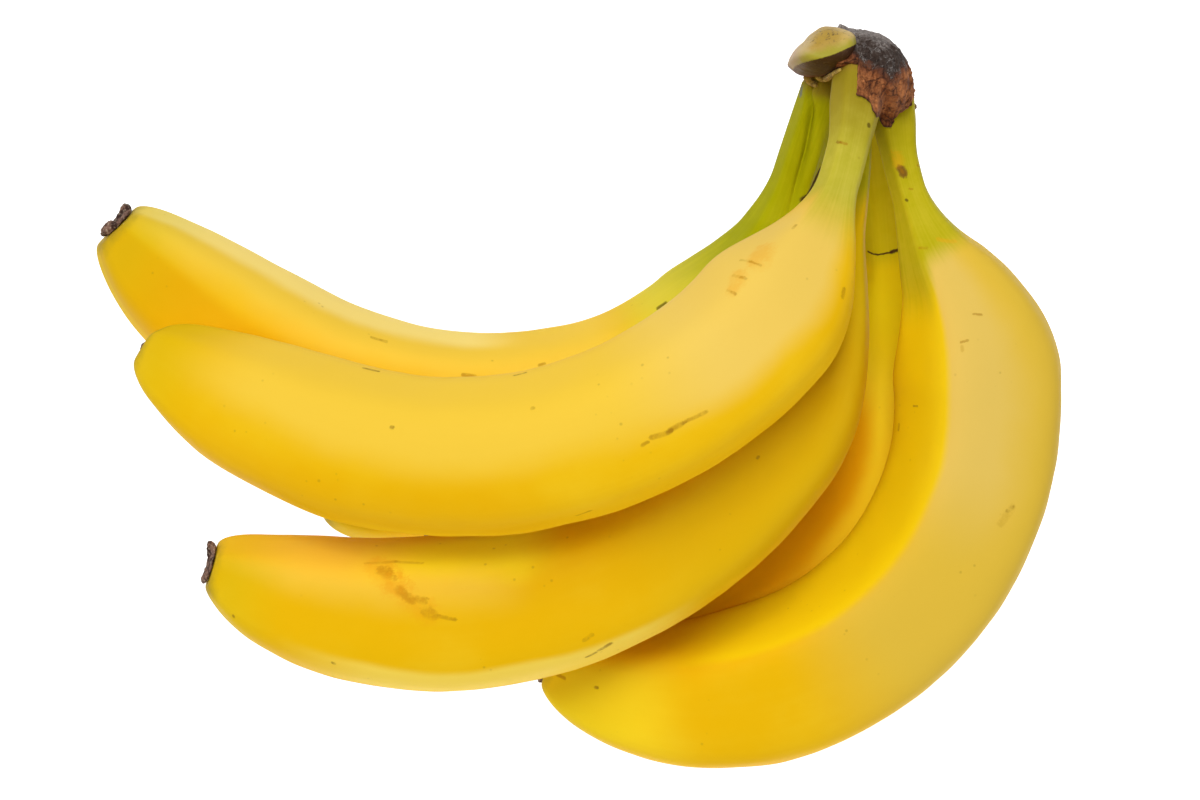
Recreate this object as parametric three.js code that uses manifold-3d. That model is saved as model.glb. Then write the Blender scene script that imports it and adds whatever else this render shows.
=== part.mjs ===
// A bunch of six bananas, grown together at one crown and lying on a flat surface.
//
// The hand is laid out in its own frame first: X runs to the right along the fingers' spread,
// Y runs up to the crown and Z runs out of the plane that the fingers curve in. Each finger is
// one closed body: a slim green neck, a shoulder where it swells, a five-sided body and a blunt
// tip. The crown is the lumpy cushion that the necks grow from, and every tip carries a dried
// flower end. Last, the whole hand is turned until it lies on three of its fingers.
//
// Units are millimetres and degrees, +Z is up, and the origin is under the middle of the bunch.

import * as THREE from 'three';
import { mergeVertices } from 'three/addons/utils/BufferGeometryUtils.js';
import Module from 'manifold-3d';

const wasm = await Module();
wasm.setup();

// ---- Driving dimensions: the fingers ----
// root: where the neck leaves the crown, in the hand's frame.
// heading: the neck's direction in the XY plane; every bend turns it clockwise.
// neck, shoulder, body: length and bend of each stretch; tipBend: extra bend over the tip.
// lean: rise out of the XY plane at the root, half way and at the tip.
// girth: radius to a flat side at mid body; neckRadius: the same at the neck.
// roll: turn of the five-sided section about the finger.
// flare: where the swelling starts, measured from the neck's end, and its length.
// taper: length over which the body narrows to the tip.
const FINGERS = [
  {
    name: 'banana_1', root: [52.5, 70.5, -24], heading: -108,
    neck: [33, -1.5], shoulder: [53, 52], body: [92, 52], tipBend: 15.5, lean: [-28.5, 11, -2],
    girth: 18, neckRadius: 5, roll: 21, flare: [-14, 46], taper: 62,
  },
  {
    name: 'banana_2', root: [60, 70.5, 2.5], heading: -98,
    neck: [32, 14], shoulder: [52, 35], body: [86.5, 50.5], tipBend: 17, lean: [22.5, -8.5, -13],
    girth: 17.5, neckRadius: 4.5, roll: 26, flare: [-10, 38], taper: 60,
  },
  {
    name: 'banana_3', root: [60, 64.5, -12], heading: -91,
    neck: [27.5, 6.5], shoulder: [42, 23], body: [107.5, 61], tipBend: 27, lean: [-1, -5, 2.5],
    girth: 18, neckRadius: 4.5, roll: 25, flare: [-5, 55], taper: 65,
  },
  {
    name: 'banana_4', root: [67.5, 68, -40], heading: -78,
    neck: [37, 5], shoulder: [38, 18.5], body: [86.5, 89.5], tipBend: 0, lean: [-47, 11, 16],
    girth: 17.5, neckRadius: 4.5, roll: 25, flare: [3, 50], taper: 66,
  },
  {
    name: 'banana_5', root: [70.5, 67, -15.5], heading: -84,
    neck: [39, -27], shoulder: [35, 32.5], body: [99.5, 78.5], tipBend: 37, lean: [-12.5, -8, -10],
    girth: 19, neckRadius: 4, roll: 27, flare: [-22, 51], taper: 68,
  },
  {
    name: 'banana_6', root: [56.5, 76, -38.5], heading: -95.5,
    neck: [31.5, -2], shoulder: [43, 41.5], body: [72, 33], tipBend: 0, lean: [-52, -2, 11],
    girth: 17, neckRadius: 5, roll: 24, flare: [1, 41], taper: 55,
  },
];
const NECK_INSET = 11;          // length of neck that runs on inside the crown
const BURIED_TAPER = 6;         // last stretch of it, which narrows away
const BURIED_SHARE = 0.5;       // share of its radius that is left at its end
const TIP_LENGTH = 50;          // stretch that the tip's extra bend is spread over
const TIP_RADIUS = 5;           // blunt end that carries the flower end
const TAPER_POWER = 2.2;        // how late the body starts to narrow
const TAPER_ROUND = 0.65;       // how bluntly it closes
const NECK_SHARPNESS = 8;       // section exponent: higher is more sharply five-sided
const BODY_SHARPNESS = 5.5;
const TIP_SHARPNESS = 7.5;
const SHARP_TIP_LENGTH = 40;    // stretch over which the tip's section sharpens
const SHARP_FLARE_LENGTH = 34;  // stretch over which the neck's section softens
const FLARE_POWER = 0.9;

// ---- Driving dimensions: the crown ----
// Outline of the cushion in the hand's XY plane, from its left end over the top.
const CROWN_OUTLINE = [
  [44.9, 81], [46.3, 84.6], [50.4, 88.4], [55.5, 89.2], [61.3, 88], [66.8, 86], [71.5, 82.3],
  [73.6, 77.5], [75.1, 72], [74.8, 68], [70.5, 66], [66, 68.2], [61.8, 72.5], [60, 77.2],
  [54, 77.2], [48.4, 77.8],
];
const CROWN_HEART = [63, 79];   // point that the outline shrinks towards
const CROWN_MIDDLE = -17;       // middle of the cushion along Z
const CROWN_HALF_DEPTH = 23.5;
const CROWN_BLUNTNESS = 0.55;   // 1 is a round end, lower is a flatter one
const CROWN_LUMP = 0.035;       // half depth of the dips as a share of the radius

// ---- Driving dimensions: the flower ends ----
const FLOWER_RADIUS = 4.9;
const FLOWER_LENGTH = 2.8;
const FLOWER_LUMP = 0.12;

// ---- Driving dimensions: how the hand lies ----
const TILT = 29.2;              // turn about X that lays the hand down
const ROLL = 0.9;               // turn about Y that brings the third finger to the surface
const PRESS = 0.4;              // depth of the flat spots that it rests on
const GAP = 0.3;                // clearance between touching pieces

// ---- Fineness of the surfaces ----
const SIDES = 20;               // points round a finger; a multiple of its five sides
const RING_STEP = 6.4;          // distance between rings along a finger
const TIP_RINGS = 7;            // closer rings over the blunt tip
const TIP_RING_STRETCH = 18;
const PATH_STEP = 0.5;          // step of the walk along a finger's middle line
const CROWN_AROUND = 36;
const CROWN_ALONG = 22;
const FLOWER_AROUND = 12;
const FLOWER_ALONG = 6;

const radians = THREE.MathUtils.degToRad;
const clamp = THREE.MathUtils.clamp;
const lerp = THREE.MathUtils.lerp;

/** Share of the way from start to end, held to 0 before it and 1 after it. */
const share = (value, start, end) => clamp((value - start) / (end - start), 0, 1);

/** The same share, easing in and out. */
function eased(value, start, end) {
  const t = share(value, start, end);
  return t * t * (3 - 2 * t);
}

/** Whole length of a finger from its root to its tip. */
const fingerLength = (f) => f.neck[0] + f.shoulder[0] + f.body[0] + TIP_LENGTH;

/** Direction of a finger's middle line at distance s from its root. */
function directionAt(f, s) {
  const shoulderStart = f.neck[0];
  const bodyStart = shoulderStart + f.shoulder[0];
  const bodyEnd = bodyStart + f.body[0];
  const length = fingerLength(f);
  const heading = radians(
    f.heading
    - f.neck[1] * share(s, 0, shoulderStart)
    - f.shoulder[1] * share(s, shoulderStart, bodyStart)
    - f.body[1] * share(s, bodyStart, bodyEnd)
    - f.tipBend * share(s, length - TIP_LENGTH, length));
  const [rootLean, middleLean, tipLean] = f.lean;
  const half = 2 * clamp(s / length, 0, 1);
  const lean = radians(half < 1
    ? lerp(rootLean, middleLean, half)
    : lerp(middleLean, tipLean, half - 1));
  return {
    tangent: new THREE.Vector3(
      Math.cos(lean) * Math.cos(heading), Math.cos(lean) * Math.sin(heading), Math.sin(lean)),
    inner: new THREE.Vector3(Math.sin(heading), -Math.cos(heading), 0),
  };
}

/** Point on a finger's middle line, by walking along its direction from the root. */
function pointAt(f, s) {
  const steps = Math.max(1, Math.ceil(Math.abs(s) / PATH_STEP));
  const point = new THREE.Vector3(...f.root);
  for (let i = 0; i < steps; i += 1) {
    const { tangent } = directionAt(f, s * (i + 0.5) / steps);
    point.addScaledVector(tangent, s / steps);
  }
  return point;
}

/** Radius to a flat side: slim neck, flare over the shoulder, body, blunt taper. */
function radiusAt(f, s) {
  const flareStart = f.neck[0] + f.flare[0];
  const flare = eased(s, flareStart, flareStart + f.flare[1]) ** FLARE_POWER;
  const full = lerp(f.neckRadius, f.girth, flare);
  const length = fingerLength(f);
  const along = share(s, length - f.taper, length);
  const buried = share(-s, NECK_INSET - BURIED_TAPER, NECK_INSET);
  return lerp(TIP_RADIUS, full, (1 - along ** TAPER_POWER) ** TAPER_ROUND)
    * lerp(1, BURIED_SHARE, buried);
}

/** Exponent of the five-sided section: soft at mid body, sharper at neck and tip. */
function sharpnessAt(f, s) {
  const length = fingerLength(f);
  const leaving = eased(s, f.neck[0], f.neck[0] + SHARP_FLARE_LENGTH);
  const nearing = eased(s, length - SHARP_TIP_LENGTH, length);
  return lerp(lerp(NECK_SHARPNESS, BODY_SHARPNESS, leaving), TIP_SHARPNESS, nearing);
}

/** Rounded pentagon of inner radius 1: five half planes blended by a power sum. */
function sectionRadius(angle, sharpness) {
  let sum = 0;
  for (let k = 0; k < 5; k += 1) {
    sum += Math.max(0, Math.cos(angle - k * 2 * Math.PI / 5)) ** sharpness;
  }
  return sum ** (-1 / sharpness);
}

/** Distances from the root at which a finger has a ring of points. */
function ringPlaces(f) {
  const start = -NECK_INSET;
  const tipStart = fingerLength(f) - TIP_RING_STRETCH;
  const rings = Math.round((tipStart - start) / RING_STEP);
  const places = [];
  for (let i = 0; i < rings; i += 1) {
    places.push(lerp(start, tipStart, i / rings));
  }
  for (let i = 0; i <= TIP_RINGS; i += 1) {
    places.push(tipStart + TIP_RING_STRETCH * (1 - (1 - i / TIP_RINGS) ** 1.7));
  }
  return places;
}

/** Middle, tangent and the two directions across a finger at distance s. */
function stationAt(f, s) {
  const { tangent, inner } = directionAt(f, s);
  const across = inner.addScaledVector(tangent, -inner.dot(tangent)).normalize();
  const side = new THREE.Vector3().crossVectors(across, tangent);
  return { middle: pointAt(f, s), tangent, across, side };
}

/** One ring of points round a finger. */
function fingerRing(f, s) {
  const { middle, across, side } = stationAt(f, s);
  const radius = radiusAt(f, s);
  const sharpness = sharpnessAt(f, s);
  const ring = [];
  for (let j = 0; j < SIDES; j += 1) {
    const angle = 2 * Math.PI * j / SIDES;
    const r = radius * sectionRadius(angle, sharpness);
    const turned = angle + radians(f.roll);
    ring.push(middle.clone()
      .addScaledVector(across, r * Math.cos(turned))
      .addScaledVector(side, r * Math.sin(turned)));
  }
  return ring;
}

/** Closed geometry through a stack of rings, with a middle point capping each end. */
function skin(rings, firstPole, lastPole) {
  const points = [firstPole, ...rings.flat(), lastPole];
  const around = rings[0].length;
  const last = points.length - 1;
  const at = (i, j) => 1 + i * around + (j % around);
  const faces = [];
  for (let j = 0; j < around; j += 1) {
    faces.push(0, at(0, j), at(0, j + 1));
    faces.push(last, at(rings.length - 1, j + 1), at(rings.length - 1, j));
    for (let i = 0; i + 1 < rings.length; i += 1) {
      faces.push(at(i, j), at(i + 1, j), at(i + 1, j + 1));
      faces.push(at(i, j), at(i + 1, j + 1), at(i, j + 1));
    }
  }
  const geometry = new THREE.BufferGeometry().setFromPoints(points);
  geometry.setIndex(faces);
  return geometry;
}

/** A whole finger, from inside the crown to its flat tip. */
function fingerGeometry(f) {
  const rings = ringPlaces(f).map((s) => fingerRing(f, s));
  return skin(rings, pointAt(f, -NECK_INSET), pointAt(f, fingerLength(f)));
}

/** Slow bumps over the crown, from -1 to 1. */
function crownLump(around, along) {
  return 0.45 * Math.sin(3 * around + 1.1 + 2 * along)
    + 0.35 * Math.sin(5 * around - 3 * along)
    + 0.2 * Math.sin(4 * along + 2 * around + 0.7);
}

/** The crown: its outline swept along Z and closed bluntly, grown by a clearance. */
function crownGeometry(grow) {
  const outline = new THREE.CatmullRomCurve3(
    CROWN_OUTLINE.map(([x, y]) => new THREE.Vector3(x, y, 0)), true, 'centripetal');
  const heart = new THREE.Vector3(...CROWN_HEART, 0);
  const halfDepth = CROWN_HALF_DEPTH + grow;
  const rings = [];
  for (let i = 1; i < CROWN_ALONG; i += 1) {
    const along = Math.PI * i / CROWN_ALONG;
    const z = CROWN_MIDDLE - halfDepth * Math.cos(along);
    const size = Math.sin(along) ** CROWN_BLUNTNESS;
    const ring = [];
    for (let j = 0; j < CROWN_AROUND; j += 1) {
      const around = 2 * Math.PI * j / CROWN_AROUND;
      const edge = outline.getPointAt(j / CROWN_AROUND);
      const { x, y } = outline.getTangentAt(j / CROWN_AROUND);
      edge.add(new THREE.Vector3(-y, x, 0).multiplyScalar(grow)).sub(heart);
      const dip = 1 - CROWN_LUMP * (1 - crownLump(around, along));
      ring.push(edge.multiplyScalar(size * dip).add(heart).setZ(z));
    }
    rings.push(ring);
  }
  return skin(
    rings,
    heart.clone().setZ(CROWN_MIDDLE - halfDepth),
    heart.clone().setZ(CROWN_MIDDLE + halfDepth));
}

/** The dried flower end, a small lumpy pad just past a finger's tip. */
function flowerGeometry(f, index) {
  const { middle, tangent, across, side } = stationAt(f, fingerLength(f));
  const point = (outward, around, radius) => middle.clone()
    .addScaledVector(tangent, GAP + outward)
    .addScaledVector(across, radius * Math.cos(around))
    .addScaledVector(side, radius * Math.sin(around));
  const rings = [];
  for (let i = 0; i <= FLOWER_ALONG; i += 1) {
    const t = i / FLOWER_ALONG;
    const radius = FLOWER_RADIUS * (1 - 0.62 * t ** 3);
    const ring = [];
    for (let j = 0; j < FLOWER_AROUND; j += 1) {
      const around = 2 * Math.PI * j / FLOWER_AROUND;
      const lump = 1 + FLOWER_LUMP * Math.sin(5 * around + 2.3 * index) * (0.3 + 0.7 * t);
      const outward = FLOWER_LENGTH * t * (1 + 0.15 * t * Math.sin(3 * around + index));
      ring.push(point(outward, around, radius * lump));
    }
    rings.push(ring);
  }
  return skin(rings, point(0, 0, 0), point(FLOWER_LENGTH * 0.8, 0, 0));
}

/** Closed geometry as a solid that can be cut. */
function toSolid(geometry) {
  const bare = new THREE.BufferGeometry();
  bare.setAttribute('position', geometry.getAttribute('position'));
  bare.setIndex(geometry.getIndex());
  const merged = mergeVertices(bare);
  return new wasm.Manifold(new wasm.Mesh({
    numProp: 3,
    vertProperties: new Float32Array(merged.getAttribute('position').array),
    triVerts: new Uint32Array(merged.getIndex().array),
  }));
}

/** A solid back as geometry with its normals. */
function toGeometry(solid) {
  const mesh = solid.getMesh();
  const geometry = new THREE.BufferGeometry();
  geometry.setAttribute('position', new THREE.BufferAttribute(mesh.vertProperties, 3));
  geometry.setIndex(new THREE.BufferAttribute(mesh.triVerts, 1));
  geometry.computeVertexNormals();
  return geometry;
}

/** The surface that the hand lies on, as a slab whose top is at the given height. */
function slabBelow(height) {
  const slab = new THREE.BoxGeometry(400, 400, 40);
  slab.deleteAttribute('normal');
  slab.deleteAttribute('uv');
  return slab.translate(0, 0, height - 20);
}

const peelMaterial = new THREE.MeshStandardMaterial({
  color: 0xf1c63c, roughness: 0.45, metalness: 0,
});
const crownMaterial = new THREE.MeshStandardMaterial({
  color: 0x6b4a33, roughness: 0.9, metalness: 0,
});
const flowerMaterial = new THREE.MeshStandardMaterial({
  color: 0x57483a, roughness: 0.95, metalness: 0,
});

const layDown = new THREE.Matrix4().makeRotationFromEuler(
  new THREE.Euler(radians(TILT), radians(ROLL), 0));

const fingerShapes = FINGERS.map((f) => fingerGeometry(f).applyMatrix4(layDown));
const lowest = Math.min(...fingerShapes.map((shape) => {
  shape.computeBoundingBox();
  return shape.boundingBox.min.z;
}));
const surface = lowest + PRESS;
const slab = toSolid(slabBelow(surface));
const crownBay = toSolid(crownGeometry(GAP).applyMatrix4(layDown));

const bunch = new THREE.Group();
const hand = new THREE.Group();
bunch.add(hand);

/** Adds one named piece to the hand. */
function addPiece(name, geometry, material) {
  const mesh = new THREE.Mesh(geometry, material.clone());
  mesh.name = name;
  hand.add(mesh);
}

addPiece('crown', crownGeometry(0).applyMatrix4(layDown), crownMaterial);
FINGERS.forEach((f, index) => {
  const solid = toSolid(fingerShapes[index]).subtract(crownBay).subtract(slab);
  addPiece(f.name, toGeometry(solid), peelMaterial);
  addPiece(`flower_end_${index + 1}`, flowerGeometry(f, index).applyMatrix4(layDown),
    flowerMaterial);
});

const box = new THREE.Box3().setFromObject(hand);
const centre = box.getCenter(new THREE.Vector3());
hand.position.set(-centre.x, -centre.y, -surface);

export default bunch;
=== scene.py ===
import bpy
import numpy as np
from mathutils import Matrix, Vector


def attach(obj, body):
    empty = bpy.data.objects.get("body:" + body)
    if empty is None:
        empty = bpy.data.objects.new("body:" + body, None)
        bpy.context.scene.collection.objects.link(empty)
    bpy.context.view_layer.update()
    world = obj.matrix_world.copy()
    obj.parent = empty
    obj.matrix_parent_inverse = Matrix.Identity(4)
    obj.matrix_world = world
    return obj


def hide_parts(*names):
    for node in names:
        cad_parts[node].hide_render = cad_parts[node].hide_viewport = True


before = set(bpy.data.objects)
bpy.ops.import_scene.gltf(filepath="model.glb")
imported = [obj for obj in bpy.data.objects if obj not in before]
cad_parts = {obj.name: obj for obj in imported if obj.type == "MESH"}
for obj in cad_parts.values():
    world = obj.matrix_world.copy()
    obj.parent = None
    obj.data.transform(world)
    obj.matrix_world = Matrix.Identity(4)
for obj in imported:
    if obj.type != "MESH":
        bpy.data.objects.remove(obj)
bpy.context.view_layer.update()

# ---- The bananas ----
# Six fingers of one hand of ripe fruit, each grown in one piece: a slim green neck, a shoulder
# where it swells, a five-sided body and a blunt tip. They lie on a surface, pressed a little
# flat where three of them touch it. Sizes are in millimetres and degrees, in the hand's own
# frame: X along the spread of the fingers, Y up to the crown, Z out of the plane they curve in.
MM = 0.001
FINGERS = {
    "banana_1": dict(
        root=(52.5, 70.5, -24), heading=-108, neck=(33, -1.5), shoulder=(53, 52), body=(92, 52),
        tip_bend=15.5, lean=(-28.5, 11, -2), girth=18, neck_radius=5, roll=21, flare=(-14, 46),
        taper=62, groove=((-5.4, -1, 5.3, 10.3, 15.5, 22.9), (28, 52, 65, 74, 77, 81)),
        tip_radius=6, tip_tilt=(0, 0, -0.26)),
    "banana_2": dict(
        root=(60, 70.5, 2.5), heading=-98, neck=(32, 14), shoulder=(52, 35), body=(86.5, 50.5),
        tip_bend=17, lean=(22.5, -8.5, -13), girth=17.5, neck_radius=4.5, roll=26,
        flare=(-10, 38), taper=60, foot=(1.1, 13)),
    "banana_3": dict(
        root=(60, 64.5, -12), heading=-91, neck=(27.5, 6.5), shoulder=(42, 23), body=(107.5, 61),
        tip_bend=24.6, lean=(-1, -5, 2.5), girth=18, neck_radius=4.5, roll=25, flare=(-5, 55),
        taper=65, tip_tilt=(0, 0.2, -0.14)),
    "banana_4": dict(
        root=(67.5, 68, -40), heading=-78, neck=(37, 5), shoulder=(38, 18.5), body=(86.5, 89.5),
        tip_bend=0, lean=(-47, 11, 16), girth=17.5, neck_radius=6, roll=25, flare=(3, 50),
        taper=66),
    "banana_5": dict(
        root=(70.5, 67, -15.5), heading=-84, neck=(39, -27), shoulder=(35, 32.5),
        body=(99.5, 78.5), tip_bend=37, lean=(-12.5, -8, -10), girth=19, neck_radius=4, roll=27,
        flare=(-22, 51), taper=68, foot=(0.8, 10), sharpness=7.5),
    "banana_6": dict(
        root=(56.5, 76, -38.5), heading=-95.5, neck=(31.5, -2), shoulder=(43, 41.5),
        body=(72, 33), tip_bend=0, lean=(-52, -2, 11), girth=17, neck_radius=5, roll=24,
        flare=(1, 41), taper=30, tip_radius=4.6),
}
# A neck goes this far into the crown, and over the last of that it narrows to a share.
NECK_INSET = 11
BURIED_TAPER, BURIED_SHARE = 6, 0.5
TIP_LENGTH, TIP_RADIUS = 50, 5
# How keen the five edges are, over what length the neck's soften into the body's, and over
# what length those sharpen again towards the tip.
NECK_SHARPNESS, BODY_SHARPNESS, TIP_SHARPNESS = 8, 5.5, 7.5
SOFTENING, SHARPENING = 34, 40
# The crease down a neck and the swelling beside it, in shares of the radius and degrees, and
# the distances from the root between which both fade out.
CREASE_DEPTH, CREASE_WIDTH = 0.34, 8
SWELL_HEIGHT, SWELL_ASIDE, SWELL_WIDTH = 0.16, 26, 15
CREASE_FADE = (8, 34)
# Where the uneven skin sets in, and how far back from the end a tilted tip leans.
UNEVEN_FROM = (10, 45)
TILT_LENGTH = 14
HAND_TURN = Matrix.Rotation(np.radians(29.2), 3, "X") @ Matrix.Rotation(np.radians(0.9), 3, "Y")
HAND_PLACE = (5.427, -16.485, 93.774)
# Step along a middle line, rows and columns of a peel, and how the rows crowd towards the tip.
PATH_STEP = 0.25
FINGER_ROWS, FINGER_COLUMNS = 300, 120
ROW_CROWDING = 1.35
# A piece's own map holds distances over this many mm.
MAP_SCALE = 100


def share(value, start, end):
    """Share of the way from start to end, held to 0 before it and 1 after it."""
    return np.clip((value - start) / (end - start), 0, 1)


def eased(value, start, end):
    """The same share t, eased in and out as t^2 (3 - 2t)."""
    t = share(value, start, end)
    return t * t * (3 - 2 * t)


def between(a, b, t):
    """Straight line from a at t = 0 to b at t = 1."""
    return a + (b - a) * t


def finger_length(f):
    """Neck, shoulder, body and tip together."""
    return f["neck"][0] + f["shoulder"][0] + f["body"][0] + TIP_LENGTH


def finger_direction(f, s):
    """Tangent and inner side at distances s: each stretch turns the heading evenly, and the
    lean out of the plane goes straight from root to middle to tip."""
    stretches = [(0, 0), f["neck"], f["shoulder"], f["body"], (TIP_LENGTH, f["tip_bend"])]
    ends, bends = np.cumsum(stretches, axis=0).T
    heading = np.radians(f["heading"] - np.interp(s, ends, bends))
    lean = np.radians(np.interp(s / ends[-1], (0, 0.5, 1), f["lean"]))
    flat = np.cos(lean)
    tangent = np.stack([flat * np.cos(heading), flat * np.sin(heading), np.sin(lean)], -1)
    inner = np.stack([np.sin(heading), -np.cos(heading), np.zeros_like(heading)], -1)
    return tangent, inner


def finger_stations(f, s):
    """Middle line, tangent and the two directions across a finger at distances s. The middle
    line is the running sum of the tangent, moved so that s = 0 is the root."""
    walk = np.arange(-NECK_INSET, finger_length(f) + 2 * PATH_STEP, PATH_STEP)
    steps = finger_direction(f, (walk[1:] + walk[:-1]) / 2)[0] * PATH_STEP
    path = np.vstack([np.zeros(3), np.cumsum(steps, axis=0)])
    at = lambda places: np.stack([np.interp(places, walk, path[:, k]) for k in range(3)], -1)
    middle = at(s) - at(np.zeros(1)) + f["root"]
    tangent, inner = finger_direction(f, s)
    across = inner - tangent * (inner * tangent).sum(-1, keepdims=True)
    across /= np.linalg.norm(across, axis=-1, keepdims=True)
    return middle, tangent, across, np.cross(across, tangent)


def finger_radius(f, s):
    """Radius to a flat side: a neck that widens into the crown, flare over the shoulder, body,
    and a taper to the tip that follows (1 - t^2.2)^0.65. The end inside the crown narrows
    away."""
    start = f["neck"][0] + f["flare"][0]
    flare = eased(s, start, start + f["flare"][1]) ** 0.9
    foot_width, foot_length = f.get("foot", (0, 10))
    neck = f["neck_radius"] + foot_width * (1 - eased(s, 0, foot_length))
    full = between(neck, f["girth"], flare)
    length = finger_length(f)
    taper = (1 - share(s, length - f["taper"], length) ** 2.2) ** 0.65
    buried = share(-s, NECK_INSET - BURIED_TAPER, NECK_INSET)
    tip_radius = f.get("tip_radius", TIP_RADIUS)
    return between(tip_radius, full, taper) * between(1, BURIED_SHARE, buried)


def finger_section(f, s, angle):
    """Rounded pentagon of inner radius 1: (sum of max(0, cos(angle - 72k))^p)^(-1/p) over its
    five sides, with p high at the neck and the tip, where the edges are sharper."""
    length = finger_length(f)
    leaving = eased(s, f["neck"][0], f["neck"][0] + SOFTENING)
    body_sharpness = f.get("sharpness", BODY_SHARPNESS)
    sharp = between(between(NECK_SHARPNESS, body_sharpness, leaving), TIP_SHARPNESS,
                    eased(s, length - SHARPENING, length))
    sides = np.arange(5) * 2 * np.pi / 5
    flats = np.maximum(0, np.cos(angle[..., None] - sides)) ** sharp[..., None]
    return flats.sum(-1) ** (-1 / sharp)


def groove(f, s, angle):
    """1, less a crease down the neck that parts it into two lobes: a bell curve round the
    groove's own line, with a low swelling beyond it, both fading out at the shoulder."""
    if "groove" not in f:
        return 1
    places, angles = f["groove"]
    beside = np.degrees(angle) - np.interp(s, places, angles)
    deep = 1 - eased(s, *CREASE_FADE)
    return 1 + deep * (SWELL_HEIGHT * np.exp(-((beside - SWELL_ASIDE) / SWELL_WIDTH) ** 2)
                       - CREASE_DEPTH * np.exp(-(beside / CREASE_WIDTH) ** 2))


def laid_down(points):
    """Points of the hand's frame, in mm, as it lies on the surface, in metres."""
    turned = points @ np.array(HAND_TURN).T + HAND_PLACE
    return turned * MM


def placed(name, data):
    """An object in the scene with this mesh, light or camera."""
    made = bpy.data.objects.new(name, data)
    bpy.context.collection.objects.link(made)
    return made


def smooth_piece(name, points, faces):
    """A mesh of points and faces, shaded smooth."""
    mesh = bpy.data.meshes.new(name)
    mesh.from_pydata(points.tolist(), [], faces)
    mesh.shade_smooth()
    return placed(name, mesh)


def closed_skin(name, points, first_pole, last_pole, uv=None):
    """Closed mesh through rows of points, the columns running round it, with a pole at each
    end. uv gives, row by row and column by column, its own map, one column more than points
    so that the map doesn't turn back at the seam."""
    rows, columns = points.shape[:2]
    vertices = np.vstack([points.reshape(-1, 3), first_pole, last_pole])
    row, column = np.meshgrid(np.arange(rows - 1), np.arange(columns), indexing="ij")
    at = lambda i, j: i * columns + j % columns
    corners = [(row, column), (row + 1, column), (row + 1, column + 1), (row, column + 1)]
    quads = np.stack([at(i, j) for i, j in corners], -1).reshape(-1, 4)
    j = np.arange(columns)
    first = np.stack([np.full(columns, rows * columns), at(0, j), at(0, j + 1)], -1)
    last = np.stack(
        [np.full(columns, rows * columns + 1), at(rows - 1, j + 1), at(rows - 1, j)], -1)
    piece = smooth_piece(name, vertices, quads.tolist() + first.tolist() + last.tolist())
    if uv is not None:
        parts = [np.stack([uv[i, j] for i, j in corners], 2).reshape(-1, 2),
                 np.stack([uv[0, j], uv[0, j], uv[0, j + 1]], 1).reshape(-1, 2),
                 np.stack([uv[-1, j], uv[-1, j + 1], uv[-1, j]], 1).reshape(-1, 2)]
        layer = piece.data.uv_layers.new(name="peel")
        layer.uv.foreach_set("vector", np.vstack(parts).ravel())
    return piece


def ripple(points, wavelength, seed, waves=12):
    """Smooth noise, mostly from -1 to 1: a sum of sine waves of about one length, each with
    its own direction and start, drawn from the seed."""
    draw = np.random.default_rng(seed)
    direction = draw.normal(size=(waves, points.shape[-1]))
    direction /= np.linalg.norm(direction, axis=1, keepdims=True)
    pitch = direction * (2 * np.pi / wavelength / draw.uniform(0.7, 1.4, (waves, 1)))
    start = draw.uniform(0, 2 * np.pi, waves)
    return np.sin(points @ pitch.T + start).sum(-1) / np.sqrt(1.2 * waves)


def tilted(f, points, middle, tangent, amount):
    """The blunt end of a finger leans over: points move forward by their own distance from
    the middle line times a slope along X, Y and Z."""
    forward = (points - middle) @ np.array(f.get("tip_tilt", (0, 0, 0))) * amount
    return points + forward[..., None] * tangent


def finger_surface(f, s, angle):
    """Points of a finger's skin at distances s and angles round it: middle line plus radius
    times section, along the turned directions across it. Past the neck the skin is a little
    uneven, with low swellings 26 mm across and smaller ones of 9 mm."""
    middle, tangent, across, side = finger_stations(f, s)
    s_grid, angle_grid = np.meshgrid(s, angle, indexing="ij")
    reach = (finger_radius(f, s_grid) * finger_section(f, s_grid, angle_grid)
             * groove(f, s_grid, angle_grid))
    turned = angle_grid + np.radians(f["roll"])
    outward = (across[:, None] * np.cos(turned)[..., None]
               + side[:, None] * np.sin(turned)[..., None])
    points = middle[:, None] + outward * reach[..., None]
    uneven = 0.15 * ripple(points, 26, 1) + 0.05 * ripple(points, 9, 2)
    points = points + outward * (uneven * share(s_grid, *UNEVEN_FROM))[..., None]
    length = finger_length(f)
    return tilted(f, points, middle[:, None], tangent[:, None],
                  eased(s_grid, length - TILT_LENGTH, length))


def banana(name, f):
    """A whole finger, its rows closer together over the blunt tip, and nothing below the
    surface that it lies on. Its map holds the distance from the root and the angle round."""
    length = finger_length(f)
    t = np.linspace(0, 1, FINGER_ROWS)
    s = between(-NECK_INSET, length, 1 - (1 - t) ** ROW_CROWDING)
    angle = np.linspace(0, 2 * np.pi, FINGER_COLUMNS, endpoint=False)
    points = laid_down(finger_surface(f, s, angle))
    points[..., 2] = np.maximum(points[..., 2], 0)
    poles = laid_down(finger_stations(f, np.array([-NECK_INSET, length]))[0])
    turn = np.linspace(0, 1, FINGER_COLUMNS + 1)
    uv = np.stack(np.meshgrid(s / MAP_SCALE, turn, indexing="ij"), -1)
    return closed_skin("peel_of_" + name, points, poles[:1], poles[1:], uv)


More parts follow.
